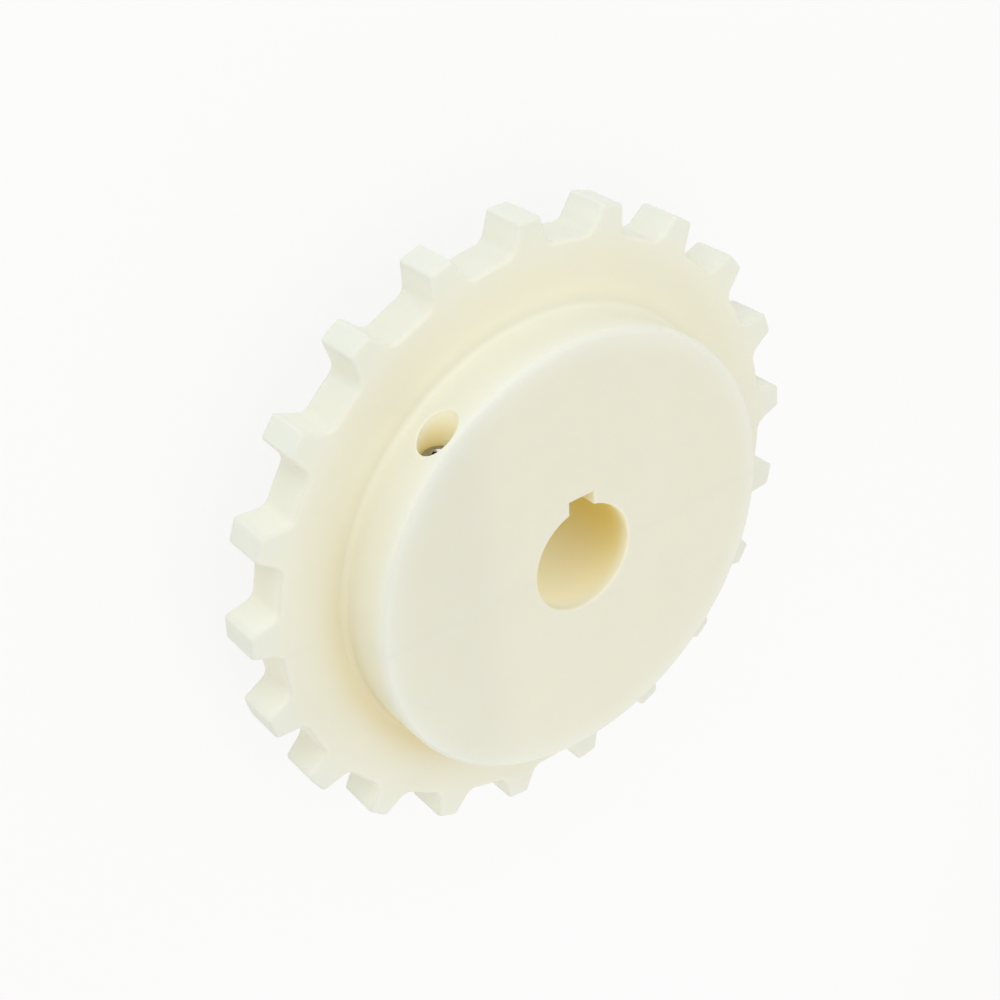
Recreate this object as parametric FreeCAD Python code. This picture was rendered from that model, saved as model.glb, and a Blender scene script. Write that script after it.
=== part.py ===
import FreeCAD, Part
import math
import os

# Split sprocket of natural cast polyamide. The blank is turned, its teeth are milled, and it is
# parted through the bore into two halves that socket-head screws clamp round a keyed shaft.
# Sizes are in millimetres. The bore runs along Z, the teeth are centred on z = 0, the halves meet
# on the plane y = 0, and the keyway points along +Y, in line with the middle of a tooth.

# Teeth
tooth_count = 21
chain_pitch = 25.4
tip_height = 2.3
gap_depth = 5.5
tip_land_width = 6.5
tooth_root_width = 11.3
gap_corner_radius = 3.2
tip_corner_radius = 0.8
tooth_width = 12.9
tooth_edge_break = 0.5

# Hub, which stands out by the same amount on both sides of the teeth
hub_diameter = 123.4
hub_length = 45.6
hub_edge_break = 0.8
hub_root_chamfer = 1.0

# Bore and keyway
bore_diameter = 30.0
bore_edge_break = 0.5
keyway_width = 8.0
keyway_depth = 3.3

# Clamp screws, socket head. Each passes on one side of the bore, near one of the hub's faces:
# the first on the -X side near the front face, the second on the +X side near the back face.
screw_places = ((-1, 1), (1, -1))
screw_offset = 36.7
screw_below_hub_face = 7.2
screw_diameter = 5.0
screw_length = 80.0
screw_end_proud = 1.5
screw_end_break = 0.6
head_diameter = 8.5
head_height = 5.0
head_edge_break = 0.5
socket_flats = 4.0
socket_depth = 2.5

# Hexagon nuts
nut_flats = 8.0
nut_height = 4.0
nut_chamfer_angle = 30.0

# Holes for the screws and nuts
screw_clearance = 0.5
head_clearance = 1.5
head_seat_depth = 11.4
nut_pocket_clearance = 0.2
nut_pocket_cover = 0.5
nut_hole_clearance = 2.0

# Worked out from the sizes above
pitch_radius = chain_pitch / (2 * math.sin(math.pi / tooth_count))
tip_radius = pitch_radius + tip_height
gap_floor_radius = pitch_radius - gap_depth
hub_radius = hub_diameter / 2
bore_radius = bore_diameter / 2
screw_height = hub_length / 2 - screw_below_hub_face
hub_side_at_screw = math.sqrt(hub_radius**2 - screw_offset**2)
head_seat = hub_side_at_screw - head_seat_depth
nut_seat = screw_length - head_seat - nut_height - screw_end_proud
cutter_overrun = 2.0

ORIGIN = FreeCAD.Vector(0, 0, 0)
ALONG_X = FreeCAD.Vector(1, 0, 0)
ALONG_Z = FreeCAD.Vector(0, 0, 1)


def on_circle(radius, angle):
    """The point at that radius and angle in the middle plane, with angle 0 along +Y."""
    return FreeCAD.Vector(-radius * math.sin(angle), radius * math.cos(angle), 0)


def arc(radius, start, end):
    """An arc round the bore axis from one angle to another."""
    middle = on_circle(radius, (start + end) / 2)
    return Part.Arc(on_circle(radius, start), middle, on_circle(radius, end)).toShape()


def tooth_outline():
    """Tip land, flank and gap floor of each tooth in turn, all corners still sharp."""
    pitch_angle = 2 * math.pi / tooth_count
    tip_half = math.asin(tip_land_width / 2 / tip_radius)
    root_half = math.asin(tooth_root_width / 2 / gap_floor_radius)
    edges = []
    for tooth in range(tooth_count):
        middle = tooth * pitch_angle
        next_root = middle + pitch_angle - root_half
        edges.append(Part.makeLine(on_circle(gap_floor_radius, middle - root_half),
                                   on_circle(tip_radius, middle - tip_half)))
        edges.append(arc(tip_radius, middle - tip_half, middle + tip_half))
        edges.append(Part.makeLine(on_circle(tip_radius, middle + tip_half),
                                   on_circle(gap_floor_radius, middle + root_half)))
        edges.append(arc(gap_floor_radius, middle + root_half, next_root))
    return Part.Wire(edges)


def upright_edges(solid, radius):
    """The edges that run along Z at that distance from the bore axis."""
    found = []
    for edge in solid.Edges:
        ends = [vertex.Point for vertex in edge.Vertexes]
        level = abs(ends[0].z - ends[-1].z) < 1e-6
        distance = math.hypot(ends[0].x, ends[0].y)
        if not level and abs(distance - radius) < 1e-4:
            found.append(edge)
    return found


def level_edges(solid, height):
    """The edges that lie at that height."""
    def lies_there(edge):
        return all(abs(vertex.Point.z - height) < 1e-6 for vertex in edge.Vertexes)
    return [edge for edge in solid.Edges if lies_there(edge)]


def circles(solid, radius, height):
    """The round edges about the bore axis of that radius, at that height."""
    def matches(edge):
        curve = edge.Curve
        return (isinstance(curve, Part.Circle)
                and abs(curve.Radius - radius) < 1e-6
                and abs(curve.Center.z - height) < 1e-6)
    return [edge for edge in solid.Edges if matches(edge)]


def toothed_disc():
    """The toothed rim and web: a slab of the tooth outline, rounded at gap floors and tooth tips."""
    base = tooth_outline()
    base.translate(FreeCAD.Vector(0, 0, -tooth_width / 2))
    slab = Part.Face(base).extrude(FreeCAD.Vector(0, 0, tooth_width))
    slab = slab.makeFillet(gap_corner_radius, upright_edges(slab, gap_floor_radius))
    slab = slab.makeFillet(tip_corner_radius, upright_edges(slab, tip_radius))
    rims = level_edges(slab, tooth_width / 2) + level_edges(slab, -tooth_width / 2)
    return slab.makeChamfer(tooth_edge_break, rims)


def hub():
    """One turned drum that stands out on both sides of the teeth, its outer edges broken."""
    foot = FreeCAD.Vector(0, 0, -hub_length / 2)
    drum = Part.makeCylinder(hub_radius, hub_length, foot)
    rims = circles(drum, hub_radius, hub_length / 2) + circles(drum, hub_radius, -hub_length / 2)
    return drum.makeChamfer(hub_edge_break, rims)


def blank():
    """Disc and hub in one piece, with a filled corner where the hub leaves the disc."""
    solid = toothed_disc().fuse(hub()).removeSplitter()
    ledge = gap_floor_radius - tooth_edge_break - hub_radius
    corner = min(hub_root_chamfer, ledge / 2)
    roots = circles(solid, hub_radius, tooth_width / 2) + circles(solid, hub_radius, -tooth_width / 2)
    return solid.makeChamfer(corner, roots)


def bore_cutter():
    """The bore with a broken edge at each hub face, and the keyway from end to end."""
    half = hub_length / 2
    through = hub_length + 2 * cutter_overrun
    bore = Part.makeCylinder(bore_radius, through, FreeCAD.Vector(0, 0, -half - cutter_overrun))
    mouth_radius = bore_radius + bore_edge_break + cutter_overrun
    mouth_depth = bore_edge_break + cutter_overrun
    for side in (-1, 1):
        foot = FreeCAD.Vector(0, 0, side * (half + cutter_overrun))
        bore = bore.fuse(Part.makeCone(mouth_radius, bore_radius, mouth_depth, foot, ALONG_Z * -side))
    corner = FreeCAD.Vector(-keyway_width / 2, 0, -half - cutter_overrun)
    keyway = Part.makeBox(keyway_width, bore_radius + keyway_depth, through, corner)
    return bore.fuse(keyway)


def hexagon(flats, height):
    """A hexagonal bar along Z from the origin, with two of its flats facing along X."""
    corner_radius = flats / math.sqrt(3)
    points = [on_circle(corner_radius, turn * math.pi / 3) for turn in range(7)]
    return Part.Face(Part.makePolygon(points)).extrude(FreeCAD.Vector(0, 0, height))


def clamp_screw():
    """A socket-head screw along Z: head above z = 0, plain shank below it."""
    head = Part.makeCylinder(head_diameter / 2, head_height)
    head = head.makeChamfer(head_edge_break, circles(head, head_diameter / 2, head_height))
    socket = hexagon(socket_flats, socket_depth + cutter_overrun)
    socket.translate(FreeCAD.Vector(0, 0, head_height - socket_depth))
    end = FreeCAD.Vector(0, 0, -screw_length)
    shank = Part.makeCylinder(screw_diameter / 2, screw_length, end)
    shank = shank.makeChamfer(screw_end_break, circles(shank, screw_diameter / 2, -screw_length))
    return head.cut(socket).fuse(shank).removeSplitter()


def clamp_nut():
    """A hexagon nut along Z below z = 0, its corners turned off at the outer face by a flat cone."""
    slope = math.tan(math.radians(nut_chamfer_angle))
    flat_radius = nut_flats / 2
    cone = Part.makeCone(flat_radius, flat_radius + nut_height / slope, nut_height)
    nut = hexagon(nut_flats, nut_height).common(cone)
    nut = nut.cut(Part.makeCylinder(screw_diameter / 2, nut_height))
    nut.translate(FreeCAD.Vector(0, 0, -nut_height))
    return nut


def along_screw(shape, side, face, start):
    """Turns a shape made along Z to run along +Y at one screw's place, its z = 0 at y = start."""
    shape = shape.copy()
    shape.rotate(ORIGIN, ALONG_X, -90)
    shape.translate(FreeCAD.Vector(side * screw_offset, start, face * screw_height))
    return shape


def screw_hole_cutter():
    """One screw's holes along Z: clearance hole, head counterbore above, nut pocket below."""
    outward = hub_side_at_screw * 2
    hole_radius = (screw_diameter + screw_clearance) / 2
    hole = Part.makeCylinder(hole_radius, head_seat + nut_seat, FreeCAD.Vector(0, 0, -nut_seat))
    head_radius = (head_diameter + head_clearance) / 2
    head_hole = Part.makeCylinder(head_radius, outward, FreeCAD.Vector(0, 0, head_seat))
    pocket = hexagon(nut_flats + nut_pocket_clearance, nut_height + nut_pocket_cover)
    pocket_end = nut_seat + nut_height + nut_pocket_cover
    pocket.translate(FreeCAD.Vector(0, 0, -pocket_end))
    nut_radius = (nut_flats + nut_hole_clearance) / 2
    nut_hole = Part.makeCylinder(nut_radius, outward, FreeCAD.Vector(0, 0, -pocket_end - outward))
    return hole.fuse([head_hole, pocket, nut_hole])


def wheel():
    """The finished wheel before it is parted."""
    solid = blank().cut(bore_cutter())
    for side, face in screw_places:
        solid = solid.cut(along_screw(screw_hole_cutter(), side, face, 0))
    return solid


def half_of(solid, direction):
    """The half of a solid on one side of the joint plane, +1 for the keyway's side."""
    reach = tip_radius + cutter_overrun
    low = FreeCAD.Vector(-reach, min(0, direction * reach), -hub_length)
    return solid.common(Part.makeBox(2 * reach, reach, 2 * hub_length, low))


def export(shape, node):
    """Writes one piece, and reports its size."""
    shape = shape.Solids[0] if len(shape.Solids) == 1 else shape
    shape.exportStep("parts/" + node + ".step")
    box = shape.BoundBox
    size = "%.2f x %.2f x %.2f" % (box.XLength, box.YLength, box.ZLength)
    print(node, "valid" if shape.isValid() else "INVALID", len(shape.Solids), "solid", size)


os.makedirs("parts", exist_ok=True)
whole = wheel()
export(half_of(whole, 1), "keyed_half")
export(half_of(whole, -1), "plain_half")
for number, (side, face) in enumerate(screw_places, start=1):
    export(along_screw(clamp_screw(), side, face, head_seat), "clamp_screw_%d" % number)
    export(along_screw(clamp_nut(), side, face, -nut_seat), "clamp_nut_%d" % number)
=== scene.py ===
import bmesh
import bpy
import math
import numpy as np
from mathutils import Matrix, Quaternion, Vector
from mathutils.geometry import tessellate_polygon


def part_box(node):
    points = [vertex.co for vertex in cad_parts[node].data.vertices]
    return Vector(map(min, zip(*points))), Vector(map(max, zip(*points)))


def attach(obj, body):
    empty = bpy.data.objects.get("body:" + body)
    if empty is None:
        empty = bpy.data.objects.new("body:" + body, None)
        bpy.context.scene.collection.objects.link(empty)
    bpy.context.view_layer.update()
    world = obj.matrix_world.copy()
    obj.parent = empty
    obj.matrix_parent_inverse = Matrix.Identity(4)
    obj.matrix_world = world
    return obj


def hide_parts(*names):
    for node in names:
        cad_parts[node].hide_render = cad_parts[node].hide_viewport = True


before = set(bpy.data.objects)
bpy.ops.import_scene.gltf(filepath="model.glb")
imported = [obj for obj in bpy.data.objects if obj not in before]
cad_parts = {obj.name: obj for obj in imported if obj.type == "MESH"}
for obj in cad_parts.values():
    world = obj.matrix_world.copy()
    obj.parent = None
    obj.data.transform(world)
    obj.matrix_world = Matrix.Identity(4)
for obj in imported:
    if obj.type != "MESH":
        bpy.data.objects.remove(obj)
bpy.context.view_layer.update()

mm = 0.001

# The two halves of the wheel
# Natural cast polyamide. One blank is turned with a drum of a hub on both sides of the toothed disc,
# its teeth are milled, its bore and keyway cut, and it is parted on the plane y = 0 into two halves.
half_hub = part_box("keyed_half")[1].z
tooth_count = 21
chain_pitch = 25.4 * mm
pitch_radius = chain_pitch / (2 * math.sin(math.pi / tooth_count))
gap_depth = 5.5 * mm
tip_height = 2.3 * mm
floor_radius = pitch_radius - gap_depth
tip_radius = pitch_radius + tip_height
tip_land = 6.5 * mm
tooth_root = 11.3 * mm
gap_corner = 3.2 * mm
tip_corner = 1.1 * mm
half_tooth = 6.45 * mm
tooth_edge = 1.1 * mm
hub_radius = 61.7 * mm
hub_edge = 1.5 * mm
root_corner = 1.7 * mm
bore_radius = 15.0 * mm
bore_edge = 0.8 * mm
key_half_width = 4.0 * mm
key_floor = 18.3 * mm

# Each clamp hole runs along Y beside the bore: a round well from the hub's side down to the screw
# head's seat or the nut's hexagonal pocket, and a clearance hole on to the joint. A window in the
# hub's side, a little wider than the well, gives way to the hole's own loops of points.
screws = ("clamp_screw_1", "clamp_screw_2")
nuts = ("clamp_nut_1", "clamp_nut_2")
places = [(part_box(screw)[0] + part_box(screw)[1]) / 2 for screw in screws]
hole_lip = 0.4 * mm
well_radius = 5.0 * mm
shank_hole = 2.75 * mm
pocket_flats = 8.2 * mm
pocket_slack = 0.5 * mm
head_height = 5.0 * mm
head_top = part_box("clamp_screw_1")[1].y
head_seat = head_top - head_height
nut_seat = -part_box("clamp_nut_1")[1].y
nut_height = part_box("clamp_nut_1")[1].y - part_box("clamp_nut_1")[0].y
pocket_end = nut_seat + nut_height + pocket_slack
window_half = 7.2 * mm

# How finely each stretch of the outline, the section and a clamp hole is drawn. A narrow flat beside
# the roundings of the hub face keeps its shading even.
floor_steps = 3
gap_corner_steps = 6
flank_steps = 3
tip_corner_steps = 4
land_steps = 2
key_wall_steps = 12
face_rings = 20
wall_rows = 26
disc_rings = 10
rim_rows = 3
bore_rows = 15
window_loops = 3
well_loops = 12
shank_loops = 9
rounding_turns = np.linspace(0, math.pi / 2, 6)
flat_margin = 0.15 * mm
joint_margin = 0.01
wheel_sharp = math.radians(32)


def turn_of(points):
    """The turn of points about the wheel's axis, counted from +Y towards -X."""
    return np.arctan2(-points[:, 0], points[:, 1])


def reach_of(points):
    """The distance of points from the wheel's axis."""
    return np.hypot(points[:, 0], points[:, 1])


def round_path(centre, radius, start, end, count):
    """Points on a circle from one angle to another: centre plus radius times (cos, sin)."""
    turn = np.linspace(start, end, count + 1)
    return centre + radius * np.stack([np.cos(turn), np.sin(turn)], axis=1)


def rounding(radius):
    """The steps of a rounded edge, each as its distances from the edge's two faces: the radius times
    one less the sine, and times one less the cosine, of an even turn."""
    return [(radius * (1 - math.sin(a)), radius * (1 - math.cos(a))) for a in rounding_turns]


def steps_between(first, last, count):
    """Evenly spaced numbers between two others, without those two."""
    return np.linspace(first, last, count + 2)[1:-1]


def tangent_centre(foot, along, side, radius, reach):
    """The centre of a corner circle: a radius to one side of the flank, and a reach from the axis."""
    base = foot + side * radius
    slope = base @ along
    roots = -slope + np.array([-1, 1]) * math.sqrt(slope**2 - base @ base + reach**2)
    return base + along * roots[np.argmin(np.abs(roots))]


def half_tooth_outline():
    """Gap floor, corner arc, flank, corner arc and tip arc, from a gap's middle to a tooth's middle.
    The first axis runs out along the middle of the tooth, the second across it."""
    foot_turn = math.asin(tooth_root / 2 / floor_radius)
    tip_turn = math.asin(tip_land / 2 / tip_radius)
    foot = floor_radius * np.array([math.cos(foot_turn), math.sin(foot_turn)])
    tip = tip_radius * np.array([math.cos(tip_turn), math.sin(tip_turn)])
    along = (tip - foot) / np.linalg.norm(tip - foot)
    outward = np.array([-along[1], along[0]])
    low = tangent_centre(foot, along, outward, gap_corner, floor_radius + gap_corner)
    high = tangent_centre(tip, along, -outward, tip_corner, tip_radius - tip_corner)
    low_turn = math.atan2(low[1], low[0])
    high_turn = math.atan2(high[1], high[0])
    flank_turn = math.atan2(outward[1], outward[0])
    gap_turn = math.pi / tooth_count
    floor = round_path(0, floor_radius, gap_turn, low_turn, floor_steps)
    corner = round_path(low, gap_corner, low_turn - math.pi, flank_turn - math.pi, gap_corner_steps)
    edge = round_path(high, tip_corner, flank_turn, high_turn, tip_corner_steps)
    flank = np.linspace(corner[-1], edge[0], flank_steps + 1)
    land = round_path(0, tip_radius, high_turn, 0, land_steps)
    return np.concatenate([floor, corner[1:], flank[1:], edge[1:], land[1:]])


def wheel_outline():
    """The outline once round: a half tooth and its mirror image, turned to each of the 21 places."""
    half = half_tooth_outline()
    tooth = np.concatenate([half[:-1], half[:0:-1] * [1, -1]])[::-1]
    turn = 2 * math.pi * np.arange(tooth_count)[:, None] / tooth_count
    x = -(np.sin(turn) * tooth[:, 0] + np.cos(turn) * tooth[:, 1])
    y = np.cos(turn) * tooth[:, 0] - np.sin(turn) * tooth[:, 1]
    return np.stack([x.ravel(), y.ravel()], axis=1)


def set_in(path, distance):
    """A closed path moved to its left by a distance, with mitred corners: the sum of the two normals
    beside each point over one plus their product."""
    ahead = np.roll(path, -1, axis=0) - path
    normal = np.stack([-ahead[:, 1], ahead[:, 0]], axis=1) / np.linalg.norm(ahead, axis=1)[:, None]
    before = np.roll(normal, 1, axis=0)
    mitre = (normal + before) / (1 + np.sum(normal * before, axis=1))[:, None]
    return path + distance * mitre


def half_of(ring, kept, start):
    """The points of a closed ring on one half, with an end point on the joint plane at each side."""
    turn = np.mod(turn_of(ring) - start, 2 * math.pi)
    ends = np.interp([0, math.pi], turn, np.linalg.norm(ring, axis=1), period=2 * math.pi)
    side = -math.sin(start)
    return np.concatenate([[[side * ends[0], 0]], ring[kept], [[-side * ends[1], 0]]])


def bore_path(keyed, start, count, grown):
    """Half of the bore's outline, grown by a distance on every side: a half circle, with the keyway
    let into the middle of it."""
    radius = bore_radius + grown
    if not keyed:
        turn = start + math.pi * np.linspace(0, 1, count)
        return radius * np.stack([-np.sin(turn), np.cos(turn)], axis=1)
    half_key = key_half_width + grown
    arc_steps = (count - 1 - 4 * key_wall_steps) // 2
    across_steps = count - 1 - 2 * key_wall_steps - 2 * arc_steps
    right = round_path(0, radius, 0, math.acos(half_key / radius), arc_steps)
    rise = np.linspace(right[-1], [half_key, key_floor + grown], key_wall_steps + 1)
    across = np.linspace(rise[-1], [-half_key, key_floor + grown], across_steps + 1)
    fall = (rise * [-1, 1])[::-1]
    left = (right * [-1, 1])[::-1]
    return np.concatenate([right, rise[1:], across[1:], fall[1:], left[1:]])


def blend(first, last, count):
    """Rings between two others, without those two: first + share (last - first)."""
    share = steps_between(0, 1, count)[:, None, None]
    return list(first + share * (last - first))


def hexagon_radius(flats, turn):
    """The distance from a hexagon's middle to its side: half the flats over the cosine of the turn
    from the nearest side's middle. Two of the sides face along X."""
    off = np.mod(turn + math.pi / 6, math.pi / 3) - math.pi / 6
    return flats / 2 / np.cos(off)


def snapped(turn):
    """The turns with the nearest one moved to each corner of the hexagon."""
    turn = turn.copy()
    for corner in math.pi / 6 + math.pi / 3 * np.arange(6):
        off = np.mod(turn - corner + math.pi, 2 * math.pi) - math.pi
        nearest = np.argmin(np.abs(off))
        turn[nearest] -= off[nearest]
    return turn


def hole_loops(border, centre, outward, nut_side):
    """Loops of points from the window's border in the hub's side, over the lip, down the hole."""
    turn = snapped(np.arctan2(border[:, 2] - centre[1], border[:, 0] - centre[0]))
    ring = np.stack([np.cos(turn), np.sin(turn)], axis=1)
    loops = []

    def on_side(flat, depth):
        """A loop on the hub's side: Y is the root of the radius squared less X squared, less a depth."""
        rise = np.sqrt(hub_radius**2 - flat[:, 0] ** 2) - depth
        loops.append(np.stack([flat[:, 0], outward * rise, flat[:, 1]], axis=1))

    def down_hole(radius, height):
        """A loop round the hole's axis, all at one height above the joint."""
        flat = centre + ring * np.reshape(radius, (-1, 1))
        level = np.full(len(flat), outward * height)
        loops.append(np.stack([flat[:, 0], level, flat[:, 1]], axis=1))

    edge = centre + ring * (well_radius + hole_lip)
    for share in steps_between(0, 1, window_loops):
        on_side(border[:, ::2] + share * (edge - border[:, ::2]), 0)
    for inset, drop in rounding(hole_lip):
        on_side(centre + ring * (well_radius + inset), drop)
    bottom = pocket_end if nut_side else head_seat
    seat = nut_seat if nut_side else head_seat
    lip = loops[-1]
    floor = np.stack([lip[:, 0], np.full(len(lip), outward * bottom), lip[:, 2]], axis=1)
    loops.extend(blend(lip, floor, well_loops))
    loops.append(floor)
    if nut_side:
        pocket = hexagon_radius(pocket_flats, turn)
        for height in (pocket_end, nut_seat + nut_height / 2, nut_seat):
            down_hole(pocket, height)
    for height in np.linspace(seat, 0, shank_loops):
        down_hole(shank_hole, height)
    return loops


def mesh_piece(name, points, faces, sharp):
    """One closed mesh from its points and faces, its unused points left out, smooth between faces
    that turn by less than the sharp angle."""
    used, packed = np.unique(np.concatenate([f.ravel() for f in faces]), return_inverse=True)
    rows = []
    at = 0
    for part in faces:
        rows.extend(packed[at:at + part.size].reshape(part.shape).tolist())
        at += part.size
    mesh = bpy.data.meshes.new(name)
    mesh.from_pydata(points[used].tolist(), [], rows)
    work = bmesh.new()
    work.from_mesh(mesh)
    bmesh.ops.recalc_face_normals(work, faces=work.faces)
    work.to_mesh(mesh)
    work.free()
    mesh.shade_smooth()
    mesh.set_sharp_from_angle(angle=sharp)
    piece = bpy.data.objects.new(name, mesh)
    bpy.context.scene.collection.objects.link(piece)
    weigh = piece.modifiers.new("even_normals", "WEIGHTED_NORMAL")
    weigh.keep_sharp = True
    return piece


def half_wheel(name, keyed):
    """One half: rings of points laid along the section of the wheel, from the bore over a hub face,
    the hub's side, the disc and the teeth to the other face and back through the bore. The clamp
    holes are let into its sides, and flat faces close it on the joint plane."""
    start = -math.pi / 2 if keyed else math.pi / 2
    outward = 1 if keyed else -1
    outline = wheel_outline()
    turn = np.mod(turn_of(outline) - start, 2 * math.pi)
    kept = np.nonzero((turn > joint_margin) & (turn < math.pi - joint_margin))[0]
    kept = kept[np.argsort(turn[kept])]
    columns = len(kept) + 2
    around = start + math.pi * np.linspace(0, 1, columns)
    circle = np.stack([-np.sin(around), np.cos(around)], axis=1)
    circle[[0, -1], 1] = 0

    def bore_ring(grown):
        """The bore's outline, grown by a distance, with both its ends put on the joint plane."""
        ring = bore_path(keyed, start, columns, grown)
        ring[[0, -1], 1] = 0
        return ring

    def tooth_ring(distance):
        """This half of the toothed outline, set in by a distance."""
        return half_of(set_in(outline, distance), kept, start)

    section = []
    for inset, drop in rounding(bore_edge)[::-1]:
        section.append((bore_ring(inset), half_hub - drop))
    mouth = bore_ring(bore_edge + flat_margin)
    face_edge = circle * (hub_radius - hub_edge - flat_margin)
    section.append((mouth, half_hub))
    for ring in blend(mouth, face_edge, face_rings):
        section.append((ring, half_hub))
    section.append((face_edge, half_hub))
    for inset, drop in rounding(hub_edge):
        section.append((circle * (hub_radius - inset), half_hub - drop))
    wall_top = len(section) - 1
    for z in np.linspace(half_hub - hub_edge, half_tooth + root_corner, wall_rows + 1)[1:]:
        section.append((circle * hub_radius, z))
    for rise, out in rounding(root_corner)[1:]:
        section.append((circle * (hub_radius + out), half_tooth + rise))
    for ring in blend(section[-1][0], tooth_ring(tooth_edge), disc_rings):
        section.append((ring, half_tooth))
    for inset, drop in rounding(tooth_edge):
        section.append((tooth_ring(inset), half_tooth - drop))
    rim_heights = steps_between(1, -1, rim_rows) * (half_tooth - tooth_edge)
    bore_heights = steps_between(-1, 1, bore_rows) * (half_hub - bore_edge)
    tooth_wall = [(section[-1][0], z) for z in rim_heights]
    bore_wall = [(section[0][0], z) for z in bore_heights]
    back = [(ring, -z) for ring, z in section[::-1]]
    section = section + tooth_wall + back + bore_wall
    rows = len(section)
    grid = np.zeros((rows, columns, 3))
    for row, (ring, z) in enumerate(section):
        grid[row, :, :2] = ring
        grid[row, :, 2] = z
    ids = np.arange(rows * columns).reshape(rows, columns)
    below = np.roll(ids, -1, axis=0)
    cells = np.stack([ids[:, :-1], ids[:, 1:], below[:, 1:], below[:, :-1]], axis=2)
    kept_cells = np.ones(cells.shape[:2], bool)
    points = [grid.reshape(-1, 3)]
    total = rows * columns
    faces = []
    openings = {-1: [], 1: []}
    back_wall_top = rows - len(bore_wall) - 1 - wall_top - wall_rows
    for place in places:
        first = wall_top if place.z > 0 else back_wall_top
        inside = np.abs(grid[first, :, 0] - place.x) < window_half
        left, right = np.nonzero(inside)[0][[0, -1]]
        low = first + wall_rows
        kept_cells[first:low, left:right] = False
        border = np.concatenate([ids[first, left:right], ids[first:low, right],
                                 ids[low, right:left:-1], ids[low:first:-1, left]])
        loops = hole_loops(points[0][border], np.array([place.x, place.z]), outward, not keyed)
        loop_ids = [border]
        for loop in loops:
            loop_ids.append(total + np.arange(len(loop)))
            points.append(loop)
            total += len(loop)
        for a, b in zip(loop_ids, loop_ids[1:]):
            faces.append(np.stack([a, np.roll(a, -1), np.roll(b, -1), b], axis=1))
        openings[1 if place.x > 0 else -1].append(loop_ids[-1])
    points = np.concatenate(points)
    faces.insert(0, cells[kept_cells])
    for column in (0, columns - 1):
        hand = 1 if points[ids[0, column], 0] > 0 else -1
        rims = [ids[:, column]] + openings[hand]
        flat = [[Vector(points[i]) for i in rim] for rim in rims]
        order = np.concatenate(rims)
        faces.append(order[np.array(tessellate_polygon(flat))])
    return mesh_piece(name, points, faces, wheel_sharp)


# Painted light and shade: how light would soak through the plastic, and where shade falls in it, is
# worked out at each point from its place alone, as numbers from about 0 to 1 that colour the material
# and make it glow. A hair of slack counts the points on an edge with its faces.
hair = 0.1 * mm
bore_slack = 2 * mm
bore_honey_turn = math.radians(-70)
bore_honey_power = 1.5
bore_least_honey = 0.1


def facing(turn, middle):
    """1 at the middle turn, falling as a raised cosine to 0 opposite it."""
    return (1 + np.cos(turn - middle)) / 2


def faded(distance, scale, power):
    """1 at no distance, falling towards 0: the exponential of minus a power of the distance over a
    scale."""
    return np.exp(-((distance / scale) ** power))


def hump(share):
    """0 at both ends of a stretch and 1 in its middle: four times the share times one less it."""
    return 4 * share * (1 - share)


def bore_depth(points):
    """How deep a point of the bore's wall lies below the nearer hub face, and 0 outside the bore."""
    return np.where(reach_of(points) < key_floor + bore_slack, half_hub - np.abs(points[:, 2]), 0)


def bore_shade(points):
    """The share of the bore's colour that is honey, painted shade: a least share all round, and the rest
    by a power of a raised cosine, most on the wall towards +X and least on the wall towards -X."""
    shade = facing(turn_of(points), bore_honey_turn) ** bore_honey_power
    return bore_least_honey + (1 - bore_least_honey) * shade


def well_depth(points, place):
    """How deep a point of a clamp hole's wall lies below the hub's side, and 0 elsewhere."""
    off = np.hypot(points[:, 0] - place.x, points[:, 2] - place.z)
    side = np.sqrt(np.maximum(hub_radius**2 - points[:, 0] ** 2, 0))
    return np.where(off < well_radius + hole_lip, np.maximum(side - np.abs(points[:, 1]), 0), 0)


def well_turn(points, place):
    """The turn of a point about a clamp hole's axis, counted alike for both holes: the second one lies
    as the first would with the wheel turned over."""
    hand = -math.copysign(1, place.x)
    return np.arctan2(hand * (points[:, 2] - place.z), hand * (points[:, 0] - place.x))


groove_width = 5 * mm


def groove_bell(points):
    """A bell over the distance from a circle on the disc, just outside the hub."""
    reach = reach_of(points)
    corner = np.hypot(reach - hub_radius - root_corner, np.abs(points[:, 2]) - half_tooth)
    return faded(corner, groove_width, 2) * (reach > hub_radius - hair)


def away(points):
    """0 towards +Y, where the key lamp stands, rising as a raised cosine to 1 towards -Y."""
    return facing(turn_of(points), math.pi)


def up_tooth(points):
    """0 at the gap floors and inside them, rising evenly to 1 at the tips of the teeth."""
    return np.clip((reach_of(points) - floor_radius) / (tip_radius - floor_radius), 0, 1)


bore_honey_depth = 2.8 * mm
onset_power = 1.6
dim_turn = math.radians(140)
dim_power = 2.5
side_honey = 0.12
groove_honey = 0.48
gap_honey = 0.12
well_honey_depth = 6 * mm
well_honey_turn = math.radians(-113)
well_honey_power = 1.8


def painted_honey_shade(points):
    """How much honey colour is painted into a surface as shade, from 0 to 1: more in recesses and on the
    side the key lamp lights least. In the bore and in a hole it is one less the exponential of minus a
    power of the depth, and most on one side.
    In the corner of hub and disc it is a bell, and on the hub's side and between the teeth a trace, all
    more towards -X and -Y."""
    height = np.abs(points[:, 2])
    bore = bore_shade(points) * (1 - faded(bore_depth(points), bore_honey_depth, onset_power))
    dim = facing(turn_of(points), dim_turn) ** dim_power
    side = side_honey * dim * (reach_of(points) > hub_radius - hair) * (height > half_tooth + hair)
    groove = groove_honey * dim * groove_bell(points)
    between = (height < half_tooth - tooth_edge) & (bore == 0)
    gap = gap_honey * dim * between * (1 - up_tooth(points))
    through = np.maximum(np.maximum(bore, gap), np.maximum(side, groove))
    for place in places:
        well = 1 - faded(well_depth(points, place), well_honey_depth, 2)
        shade = facing(well_turn(points, place), well_honey_turn) ** well_honey_power
        through = np.maximum(through, well * shade)
    return through


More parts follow.
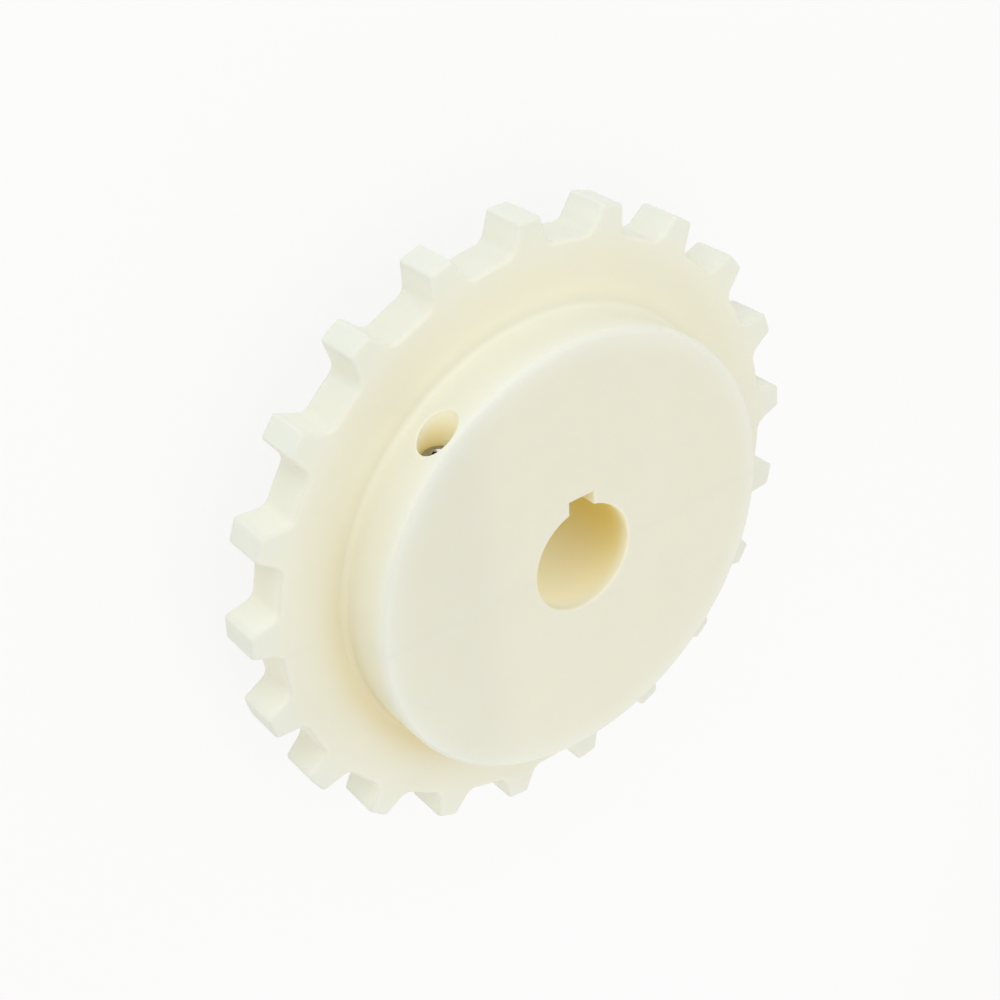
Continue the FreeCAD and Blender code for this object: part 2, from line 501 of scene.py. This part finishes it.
mouth_rise = 0.3 * mm
bore_mouth = 3.2 * mm
well_mouth = 4 * mm
pale_in_bore = 0.8
pale_gain = 0.42
mouth_pale = 0.6
mouth_less = 0.25
groove_pale = 0.22
side_pale = 0.1
side_pale_turn = math.radians(80)
side_pale_power = 4
well_pale = 0.3
well_pale_gain = 0.5


def at_mouth(depth, fade):
    """A hole's mouth: rises from 0 at its edge and fades with the depth, both as exponentials."""
    return (1 - faded(depth, mouth_rise, 1)) * faded(depth, fade, 1)


def hub_side(points):
    """The hub's side, away from its corner with the disc, strongest towards -X as a power of a raised
    cosine."""
    outer = np.clip((reach_of(points) - hub_radius) / hub_edge + 1, 0, 1)
    side = outer * (np.abs(points[:, 2]) > half_tooth + hair)
    return side * (1 - groove_bell(points)) * facing(turn_of(points), side_pale_turn) ** side_pale_power


def pale_light(points):
    """How much painted pale glow the plastic gives off, in place of light coming through it, from 0 to
    1:
    in the bore where it is least honey, a little more with the depth, near the mouth of bore and holes,
    in the corner of hub and disc on +Y's side, and a trace on the hub's side."""
    depth = bore_depth(points)
    shade = bore_shade(points)
    onset = 1 - faded(depth, bore_mouth, onset_power)
    deep = (pale_in_bore + pale_gain * depth / half_hub) * (1 - shade) * onset
    mouth = (mouth_pale * shade - mouth_less * shade**2) * at_mouth(depth, bore_mouth)
    corner = groove_pale * (1 - away(points)) * groove_bell(points)
    light = np.maximum(np.maximum(deep + mouth, corner), side_pale * hub_side(points))
    for place in places:
        glow = well_pale + well_pale_gain * facing(well_turn(points, place), well_honey_turn)
        light = np.maximum(light, glow * at_mouth(well_depth(points, place), well_mouth))
    return light


bore_warm = 0.2
mouth_warm = 0.4
well_warm_rise = 1.5 * mm
well_warm_end = 12 * mm
well_warm_power = 4


def warm_light(points):
    """How much painted honey-coloured glow comes out, in place of light through the plastic, from 0 to
    1: in a hole it rises with the depth as one less an exponential and fades again near its bottom, and
       in the bore it
    is a fifth of the honey colour's share, and more at the mouth where the colour is most honey."""
    depth = bore_depth(points)
    light = bore_warm * painted_honey_shade(points) * (depth > 0)
    light = light + mouth_warm * bore_shade(points) ** 2 * at_mouth(depth, bore_mouth)
    for place in places:
        depth = well_depth(points, place)
        fade = faded(depth, well_warm_end, well_warm_power)
        light = np.maximum(light, (1 - faded(depth, well_warm_rise, 1)) * fade)
    return light


disc_onset = 3 * mm
away_slope = 1.5
far_disc = 0.5
far_disc_turn = math.radians(170)
far_disc_power = 6
less_over_teeth = 0.4
flank_hump = 0.8
flank_most = 1.3
flank_less = 0.9
flank_less_turn = math.radians(-70)
flank_less_power = 3
foot_light = 2


def painted_disc_light(points):
    """Where painted light brightens the disc, in place of light coming through it: its faces, most
    towards +Y and again in a narrow lobe near -Y, less over the teeth, and the flanks of the teeth, as a
    hump from gap floor to tip with more at the foot towards -Y."""
    turn = turn_of(points)
    reach = reach_of(points)
    up = up_tooth(points)
    out = np.clip((reach - hub_radius - root_corner) / disc_onset, 0, 1)
    near_lobe = np.maximum(1 - away_slope * away(points), 0)
    far_lobe = far_disc * facing(turn, far_disc_turn) ** far_disc_power
    face = out * (1 - less_over_teeth * up) * (near_lobe + far_lobe)
    strength = flank_most - flank_less * facing(turn, flank_less_turn) ** flank_less_power
    flank = flank_hump * hump(up) * strength + foot_light * away(points) * (1 - up)
    drop = np.abs(np.abs(points[:, 2]) - half_tooth)
    on_face = np.clip(1 - drop / tooth_edge, 0, 1)
    rim = (reach > floor_radius - hair) & (np.abs(points[:, 2]) < half_tooth + hair)
    return on_face * face + (1 - on_face) * rim * flank


edge_slack = 1.1


def painted_edge_shade(points):
    """How near a surface is to the middle of a rounded edge of the teeth or the hub, where painted shade
    tones the edge down in place of light that goes in and leaks out again: a hump over the rounding's
    height."""
    reach = reach_of(points)
    height = np.abs(points[:, 2])
    tooth = np.clip((half_tooth - height) / tooth_edge, 0, 1)
    rim = np.clip((half_hub - height) / hub_edge, 0, 1) * (height > half_tooth + root_corner)
    on_teeth = hump(tooth) * (reach > floor_radius - edge_slack * tooth_edge)
    return on_teeth + hump(rim) * (reach > hub_radius - edge_slack * hub_edge)


tip_fade_start = 72 * mm
tip_fade_length = 14 * mm


def painted_tip_light(points):
    """How near a surface is to the teeth's tips, where painted light makes the colour paler: a smooth
    step over the distance from the axis.
    """
    share = np.clip((reach_of(points) - tip_fade_start) / tip_fade_length, 0, 1)
    return share * share * (3 - 2 * share)


rim_light_strength = 0.75
rim_light_width = 4.2 * mm


def painted_rim_light(points):
    """How near a surface is to the hub's rim, where painted light makes the colour paler, as a bell over
    face and side.
    """
    rim = np.hypot(np.minimum(reach_of(points) - hub_radius, 0), np.abs(points[:, 2]) - half_hub)
    return rim_light_strength * faded(rim, rim_light_width, 2) * (np.abs(points[:, 2]) > half_tooth + root_corner)


hole_to_rim = 30 * mm
hole_to_bore = 9 * mm


def painted_hole_shadow(points):
    """How strongly the painted shadow of a clamp hole under the hub face shows on it: a bell across the
    hole's line, narrow towards the bore and wide towards the rim."""
    shade = np.zeros(len(points))
    for place in places:
        face = np.sign(place.z) * points[:, 2] > half_hub - hub_edge / 2
        off = (points[:, 0] - place.x) * np.sign(place.x)
        bell = faded(off, np.where(off > 0, hole_to_rim, hole_to_bore), 2)
        shade = np.maximum(shade, bell * face)
    return shade


def mark_surface(piece, field, formula):
    """Stores a number at each point of a piece, worked out from the point by the given formula."""
    points = np.empty(3 * len(piece.data.vertices), np.float32)
    piece.data.vertices.foreach_get("co", points)
    values = formula(points.reshape(-1, 3).astype(float)).astype(np.float32)
    piece.data.attributes.new(field, "FLOAT", "POINT").data.foreach_set("value", values)


def tool_marks():
    """A group for the fine marks of a cutting tool: one-dimensional noise over the length of the
    tool's path, measured in spacings, and a soft cloud in space for how evenly the surface is rubbed."""
    tree = bpy.data.node_groups.new("tool_marks", "ShaderNodeTree")
    face = tree.interface
    face.new_socket("Path", in_out="INPUT", socket_type="NodeSocketFloat")
    face.new_socket("Spacing", in_out="INPUT", socket_type="NodeSocketFloat")
    face.new_socket("Cloud Size", in_out="INPUT", socket_type="NodeSocketFloat")
    face.new_socket("Height", in_out="OUTPUT", socket_type="NodeSocketFloat")
    face.new_socket("Cloud", in_out="OUTPUT", socket_type="NodeSocketFloat")
    given = tree.nodes.new("NodeGroupInput")
    result = tree.nodes.new("NodeGroupOutput")
    steps = tree.nodes.new("ShaderNodeMath")
    steps.operation = "DIVIDE"
    tree.links.new(given.outputs["Path"], steps.inputs[0])
    tree.links.new(given.outputs["Spacing"], steps.inputs[1])
    marks = tree.nodes.new("ShaderNodeTexNoise")
    marks.noise_dimensions = "1D"
    marks.inputs["Scale"].default_value = 1.0
    marks.inputs["Detail"].default_value = 3.0
    tree.links.new(steps.outputs[0], marks.inputs["W"])
    tree.links.new(marks.outputs["Fac"], result.inputs["Height"])
    place = tree.nodes.new("ShaderNodeTexCoord")
    size = tree.nodes.new("ShaderNodeMath")
    size.operation = "DIVIDE"
    size.inputs[0].default_value = 1.0
    tree.links.new(given.outputs["Cloud Size"], size.inputs[1])
    cloud = tree.nodes.new("ShaderNodeTexNoise")
    cloud.inputs["Detail"].default_value = 3.0
    tree.links.new(size.outputs[0], cloud.inputs["Scale"])
    tree.links.new(place.outputs["Object"], cloud.inputs["Vector"])
    tree.links.new(cloud.outputs["Fac"], result.inputs["Cloud"])
    return tree


marks_group = tool_marks()
cloud_low = 0.3
cloud_high = 0.7


def put_marks(tree, shader, spacing, cloud_size, height, smooth, rough):
    """Puts the tool's marks into a material: their height in a bump, their cloud in the roughness."""
    path = tree.nodes.new("ShaderNodeAttribute")
    path.attribute_name = "tool_path"
    group = tree.nodes.new("ShaderNodeGroup")
    group.node_tree = marks_group
    group.inputs["Spacing"].default_value = spacing
    group.inputs["Cloud Size"].default_value = cloud_size
    tree.links.new(path.outputs["Fac"], group.inputs["Path"])
    bump = tree.nodes.new("ShaderNodeBump")
    bump.inputs["Distance"].default_value = height
    tree.links.new(group.outputs["Height"], bump.inputs["Height"])
    tree.links.new(bump.outputs["Normal"], shader.inputs["Normal"])
    spread = tree.nodes.new("ShaderNodeMapRange")
    spread.inputs["From Min"].default_value = cloud_low
    spread.inputs["From Max"].default_value = cloud_high
    spread.inputs["To Min"].default_value = smooth
    spread.inputs["To Max"].default_value = rough
    tree.links.new(group.outputs["Cloud"], spread.inputs["Value"])
    tree.links.new(spread.outputs["Result"], shader.inputs["Roughness"])
    return group


ivory = (0.80, 0.79, 0.66, 1)
# Painted shade: the honey colour of the bore, the holes and the corner of hub and disc, where less light
# falls.
shade_honey = (0.725, 0.555, 0.155, 1)
# Painted light: the paler colour of the thin teeth, where light comes through them.
lit_tip_ivory = (0.785, 0.805, 0.725, 1)
# Painted light: the paler band along the hub's rim.
lit_rim_ivory = (0.83, 0.85, 0.775, 1)
# Painted light: the disc and teeth made brighter where light would come through them, most on the lamps'
# sides.
lit_disc_ivory = (1.09, 1.08, 1.06, 1)
# Painted shadow: the cooler grey of the face over a hidden clamp hole.
hole_shade = (0.95, 0.96, 0.965, 1)
# Painted shade: the darker middle of the rounded edges, which tones down their brightness.
edge_shade = (0.955, 0.96, 0.965, 1)
cloud_shade = (0.97, 0.965, 0.95, 1)
# Painted glow: the plastic's emission, warm and pale, stands in for light coming through it in the bore,
# the holes and the corner of hub and disc.
no_glow = (0, 0, 0, 1)
warm_glow = (0.20, 0.14, 0.02, 1)
pale_glow = (0.25, 0.25, 0.19, 1)


def tinted(tree, base, colour, mask, kind):
    """A colour mixed into another, plain or from a node, where a mask is high, by the named kind of
    mixing. The mix node's inputs 6 and 7 are its two colours, and its output 2 is their mixture."""
    mix = tree.nodes.new("ShaderNodeMix")
    mix.data_type = "RGBA"
    mix.blend_type = kind
    mix.inputs[7].default_value = colour
    if isinstance(base, tuple):
        mix.inputs[6].default_value = base
    else:
        tree.links.new(base, mix.inputs[6])
    tree.links.new(mask, mix.inputs[0])
    return mix.outputs[2]


def mask_of(tree, field):
    """The number stored at the surface's points under that name."""
    node = tree.nodes.new("ShaderNodeAttribute")
    node.attribute_name = field
    return node.outputs["Fac"]


def cast_polyamide():
    """Ivory plastic, milky with depth, with painted light and shade: honey-coloured painted shade in its
    recesses, painted light paler at its tips and rim and lighter where it is thin, a painted shadow over
    a hidden hole, painted shade on its rounded edges and a painted glow in bore, holes and corner, with
    turning marks and a faint cloud in its colour."""
    material = bpy.data.materials.new("cast_polyamide")
    material.use_nodes = True
    tree = material.node_tree
    shader = tree.nodes["Principled BSDF"]
    shader.inputs["Subsurface Weight"].default_value = 0.25
    shader.inputs["Subsurface Radius"].default_value = (1.0, 0.7, 0.35)
    shader.inputs["Subsurface Scale"].default_value = 1.0 * mm
    shader.inputs["IOR"].default_value = 1.5
    shader.inputs["Emission Strength"].default_value = 1.0
    group = put_marks(tree, shader, spacing=0.3 * mm, cloud_size=18 * mm, height=0.004 * mm,
                      smooth=0.42, rough=0.52)
    colour = tinted(tree, ivory, shade_honey, mask_of(tree, "painted_honey_shade"), "MIX")
    colour = tinted(tree, colour, lit_tip_ivory, mask_of(tree, "painted_tip_light"), "MIX")
    colour = tinted(tree, colour, lit_rim_ivory, mask_of(tree, "painted_rim_light"), "MIX")
    colour = tinted(tree, colour, lit_disc_ivory, mask_of(tree, "painted_disc_light"), "MULTIPLY")
    colour = tinted(tree, colour, hole_shade, mask_of(tree, "painted_hole_shadow"), "MULTIPLY")
    colour = tinted(tree, colour, edge_shade, mask_of(tree, "painted_edge_shade"), "MULTIPLY")
    colour = tinted(tree, colour, cloud_shade, group.outputs["Cloud"], "MULTIPLY")
    tree.links.new(colour, shader.inputs["Base Color"])
    # Painted glow: emission in place of light coming through the plastic.
    glow = tinted(tree, no_glow, warm_glow, mask_of(tree, "warm_light"), "MIX")
    glow = tinted(tree, glow, pale_glow, mask_of(tree, "pale_light"), "MIX")
    tree.links.new(glow, shader.inputs["Emission Color"])
    material.cycles.emission_sampling = "NONE"
    return material


def turned_path(points):
    """The length that the turning tool has passed: distance from the axis plus height."""
    return reach_of(points) + np.abs(points[:, 2])


keyed_half = half_wheel("keyed_half_shell", True)
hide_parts("keyed_half")
plain_half = half_wheel("plain_half_shell", False)
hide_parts("plain_half")
polyamide = cast_polyamide()
formulas = (painted_honey_shade, pale_light, warm_light, painted_disc_light,
            painted_edge_shade, painted_tip_light, painted_rim_light, painted_hole_shadow)
for half in (keyed_half, plain_half):
    for formula in formulas:
        mark_surface(half, formula.__name__, formula)
    mark_surface(half, "tool_path", turned_path)
    half.data.materials.append(polyamide)
    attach(half, "root")

# The clamp screws
# Socket-head cap screws of stainless steel. The head is cold formed with a hexagon socket and a
# knurled side, and the thread is rolled on the last stretch of the shank.
head_radius = 4.25 * mm
head_edge = 0.5 * mm
knurl_depth = 0.12 * mm
knurl_count = 40
socket_flats = 4.0 * mm
socket_depth = 2.5 * mm
socket_mouth = 2.45 * mm
drill_radius = 1.9 * mm
drill_point = 0.6 * mm
shank_radius = 2.5 * mm
thread_pitch = 0.8 * mm
thread_depth = 0.43 * mm
thread_steepness = 1.3
crest_share = 0.15
thread_length = 22.0 * mm
thread_run_out = 1.2 * mm
end_chamfer = 0.6 * mm
screw_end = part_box("clamp_screw_1")[0].y
columns_round = 120
turns_round = 2 * math.pi * np.arange(columns_round) / columns_round
socket_rows = 5
shank_rows = 11
rows_a_pitch = 6
screw_sharp = math.radians(40)


def turned_piece(name, place, rows, tips, sharp):
    """A turned piece along Y: each row holds a radius for every turn and a place along the axis. The
    rows end in a point on the axis at each of two tips, or join into a ring where there are none."""
    radius = np.array([np.broadcast_to(r, turns_round.shape) for r, y in rows])
    along = np.array([np.broadcast_to(y, turns_round.shape) for r, y in rows])
    x = place.x + radius * np.cos(turns_round)
    z = place.z + radius * np.sin(turns_round)
    points = np.stack([x, along, z], axis=2).reshape(-1, 3)
    ids = np.arange(len(points)).reshape(len(rows), columns_round)
    first = ids[:-1] if tips else ids
    second = ids[1:] if tips else np.roll(ids, -1, axis=0)
    quads = np.stack([first, np.roll(first, -1, axis=1), np.roll(second, -1, axis=1), second], axis=2)
    faces = [quads.reshape(-1, 4)]
    for ring, tip in zip((ids[0], ids[-1]), tips):
        faces.append(np.stack([ring, np.roll(ring, -1), np.full(columns_round, len(points))], axis=1))
        points = np.concatenate([points, [[place.x, tip, place.z]]])
    return mesh_piece(name, points, faces, sharp)


def thread_radius(turn, along, depth):
    """The shank's radius less the depth of a wave that rises and falls once a pitch, flattened at its
    crest and root, and moves on by one pitch in one turn, as a right-hand thread does."""
    phase = np.mod(along / thread_pitch + turn / (2 * math.pi), 1)
    wave = np.clip(thread_steepness * np.abs(2 * phase - 1) - crest_share, 0, 1)
    return shank_radius - depth * wave


def clamp_screw(name, place):
    """One screw, from the point of its socket's floor over the head and down the shank to its end."""
    hexagon = hexagon_radius(socket_flats, turns_round)
    knurl = knurl_depth * (np.arange(columns_round) % (columns_round // knurl_count) == 0)
    floor = head_top - socket_depth
    rows = [(drill_radius, floor), (hexagon, floor)]
    for depth in np.linspace(socket_mouth - socket_flats / 2, 0, socket_rows):
        rows.append((np.maximum(hexagon, socket_mouth - depth), head_top - depth))
    for lean in rounding_turns:
        radius = head_radius - head_edge * (1 - math.sin(lean)) - knurl * math.sin(lean)
        rows.append((radius, head_top - head_edge * (1 - math.cos(lean))))
    rows.append((head_radius - knurl, head_seat + head_edge / 2))
    rows.append((head_radius - head_edge / 2, head_seat))
    rows.append((shank_radius, head_seat))
    thread_start = screw_end + thread_length
    for along in np.linspace(head_seat, thread_start, shank_rows + 1)[1:]:
        rows.append((shank_radius, along))
    thread_rows = round(rows_a_pitch * thread_length / thread_pitch)
    for along in np.linspace(thread_start, screw_end, thread_rows + 1)[1:]:
        depth = thread_depth * min(1, (thread_start - along) / thread_run_out)
        limit = shank_radius - max(0, end_chamfer - (along - screw_end))
        rows.append((np.minimum(thread_radius(turns_round, along, depth), limit), along))
    return turned_piece(name, place, rows, (floor - drill_point, screw_end), screw_sharp)


def from_axis(place):
    """A formula for the length that a tool has passed on a piece turned about a screw's axis."""
    def path(points):
        """The distance from the screw's axis plus the distance along it."""
        return np.hypot(points[:, 0] - place.x, points[:, 2] - place.z) + np.abs(points[:, 1])
    return path


steel_cloud = 2 * mm
steel_marks = 0.002 * mm
rubbed_shade = (0.85, 0.85, 0.86, 1)


def stainless(name, colour, smooth, rough, spacing):
    """Bright stainless steel with fine tool marks and a cloudy sheen."""
    material = bpy.data.materials.new(name)
    material.use_nodes = True
    tree = material.node_tree
    shader = tree.nodes["Principled BSDF"]
    shader.inputs["Metallic"].default_value = 1.0
    group = put_marks(tree, shader, spacing, steel_cloud, steel_marks, smooth, rough)
    darker = tinted(tree, colour, rubbed_shade, group.outputs["Cloud"], "MULTIPLY")
    tree.links.new(darker, shader.inputs["Base Color"])
    return material


# Painted shade: the screws' stainless steel is made darker than the nuts' for the shade deep in their
# wells.
shaded_screw_grey = (0.38, 0.37, 0.35, 1)
screw_steel = stainless("stainless_screw", shaded_screw_grey, smooth=0.15, rough=0.28, spacing=0.1 * mm)
for screw, place in zip(screws, places):
    piece = clamp_screw(screw + "_turned", place)
    mark_surface(piece, "tool_path", from_axis(place))
    piece.data.materials.append(screw_steel)
    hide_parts(screw)
    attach(piece, "root")

# The clamp nuts
# Hexagon nuts of stainless steel, pressed from bar and tapped. Each lies in a hexagonal pocket of the
# plain half, which keeps it from turning, and shows its chamfered face and the screw's end.
nut_flats = 8.0 * mm
nut_chamfer_slope = math.tan(math.radians(30))
nut_mouth = 2.7 * mm
thread_gap = 0.03 * mm
chamfer_rows = 7
nut_sharp = math.radians(25)


def clamp_nut(name, place):
    """One nut: seat face, hexagonal side cut by a flat cone, outer face, and the tapped hole."""
    hexagon = hexagon_radius(nut_flats, turns_round)
    seat = -nut_seat
    outer = seat - nut_height
    rows = [(nut_mouth, seat), (hexagon, seat), (hexagon, seat - nut_height / 2)]
    corner = nut_flats / math.sqrt(3)
    for rise in np.linspace((corner - nut_flats / 2) * nut_chamfer_slope, 0, chamfer_rows):
        rows.append((np.minimum(hexagon, nut_flats / 2 + rise / nut_chamfer_slope), outer + rise))
    rows.append((nut_mouth, outer))
    thread_rows = round(rows_a_pitch * nut_height / thread_pitch)
    for along in np.linspace(outer, seat, thread_rows + 1)[1:-1]:
        mouth = nut_mouth - min(along - outer, seat - along)
        thread = thread_radius(turns_round, along, thread_depth) + thread_gap
        rows.append((np.maximum(thread, mouth), along))
    return turned_piece(name, place, rows, (), nut_sharp)


nut_grey = (0.62, 0.61, 0.59, 1)
nut_steel = stainless("stainless_nut", nut_grey, smooth=0.28, rough=0.42, spacing=0.15 * mm)
for nut, place in zip(nuts, places):
    piece = clamp_nut(nut + "_tapped", place)
    mark_surface(piece, "tool_path", from_axis(place))
    piece.data.materials.append(nut_steel)
    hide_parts(nut)
    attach(piece, "root")

# Floor and light
# A plain white floor under the back hub face, an even warm light all round, a large soft lamp low over
# the keyway's side, which lights that side of the hub and the teeth, and a small weak one opposite.
floor_reach = 3.0
floor_white = (0.9, 0.9, 0.9, 1)
seen_white = 0.98
seen_share = 0.85
fill_colour = (1.0, 0.975, 0.93, 1)
fill_strength = 0.91
backdrop_white = (1, 1, 1, 1)
lamp_colour = (0.80, 0.88, 1.0)
key_size = 0.7
key_power = 2.35
key_place = Vector((-0.30, 0.85, 0.33))
far_size = key_size / 3
far_power = 0.27
far_place = Vector((0.05, -0.42, 0.30))


def seen_rays(tree):
    """1 for a ray from the camera, or one that shows the surroundings in a glossy or clear surface."""
    path = tree.nodes.new("ShaderNodeLightPath")
    either = tree.nodes.new("ShaderNodeMath")
    either.operation = "MAXIMUM"
    tree.links.new(path.outputs["Is Glossy Ray"], either.inputs[0])
    tree.links.new(path.outputs["Is Transmission Ray"], either.inputs[1])
    seen = tree.nodes.new("ShaderNodeMath")
    seen.operation = "MAXIMUM"
    tree.links.new(path.outputs["Is Camera Ray"], seen.inputs[0])
    tree.links.new(either.outputs[0], seen.inputs[1])
    return seen.outputs[0]


floor_mesh = bpy.data.meshes.new("floor")
directions = [(-1, -1), (1, -1), (1, 1), (-1, 1)]
corners = [(x * floor_reach, y * floor_reach, -half_hub) for x, y in directions]
floor_mesh.from_pydata(corners, [], [(0, 1, 2, 3)])
floor = bpy.data.objects.new("floor", floor_mesh)
bpy.context.scene.collection.objects.link(floor)
pale = bpy.data.materials.new("pale_floor")
pale.use_nodes = True
tree = pale.node_tree
shader = tree.nodes["Principled BSDF"]
shader.inputs["Base Color"].default_value = floor_white
shader.inputs["Roughness"].default_value = 0.9
even = tree.nodes.new("ShaderNodeEmission")
even.inputs["Strength"].default_value = seen_white
share = tree.nodes.new("ShaderNodeMath")
share.operation = "MULTIPLY"
share.inputs[1].default_value = seen_share
tree.links.new(seen_rays(tree), share.inputs[0])
both = tree.nodes.new("ShaderNodeMixShader")
tree.links.new(share.outputs[0], both.inputs[0])
tree.links.new(shader.outputs[0], both.inputs[1])
tree.links.new(even.outputs[0], both.inputs[2])
tree.links.new(both.outputs[0], tree.nodes["Material Output"].inputs["Surface"])
pale.cycles.emission_sampling = "NONE"
floor_mesh.materials.append(pale)

world = bpy.data.worlds.new("studio")
bpy.context.scene.world = world
world.use_nodes = True
tree = world.node_tree
fill = tree.nodes["Background"]
fill.inputs["Color"].default_value = fill_colour
fill.inputs["Strength"].default_value = fill_strength
white = tree.nodes.new("ShaderNodeBackground")
white.inputs["Color"].default_value = backdrop_white
white.inputs["Strength"].default_value = seen_white
both = tree.nodes.new("ShaderNodeMixShader")
tree.links.new(seen_rays(tree), both.inputs[0])
tree.links.new(fill.outputs[0], both.inputs[1])
tree.links.new(white.outputs[0], both.inputs[2])
tree.links.new(both.outputs[0], tree.nodes["World Output"].inputs["Surface"])

for name, place, size, power in (("key_lamp", key_place, key_size, key_power),
                                 ("far_lamp", far_place, far_size, far_power)):
    lamp_data = bpy.data.lights.new(name, "AREA")
    lamp_data.shape = "DISK"
    lamp_data.size = size
    lamp_data.energy = power
    lamp_data.color = lamp_colour
    lamp = bpy.data.objects.new(name, lamp_data)
    lamp.location = place
    lamp.rotation_euler = (-place).to_track_quat("-Z", "Y").to_euler()
    bpy.context.scene.collection.objects.link(lamp)

# Camera
# It looks down on the wheel from the left of the keyway, rolled so that the hub seems to lean back.
camera_place = Vector((-208.87, 235.72, 275.49)) * mm
camera_aim = Vector((-3.88, 4.83, -6.77)) * mm
camera_roll = math.radians(123.725)
camera_data = bpy.data.cameras.new("camera")
camera_data.lens = 57.0
camera_data.sensor_width = 36.0
camera_data.clip_start = 0.01
camera = bpy.data.objects.new("camera", camera_data)
camera.location = camera_place
level = (camera_aim - camera_place).to_track_quat("-Z", "Y")
camera.rotation_euler = (level @ Quaternion((0, 0, 1), camera_roll)).to_euler()
bpy.context.scene.collection.objects.link(camera)
bpy.context.scene.camera = camera
bpy.context.scene.view_settings.view_transform = "Standard"
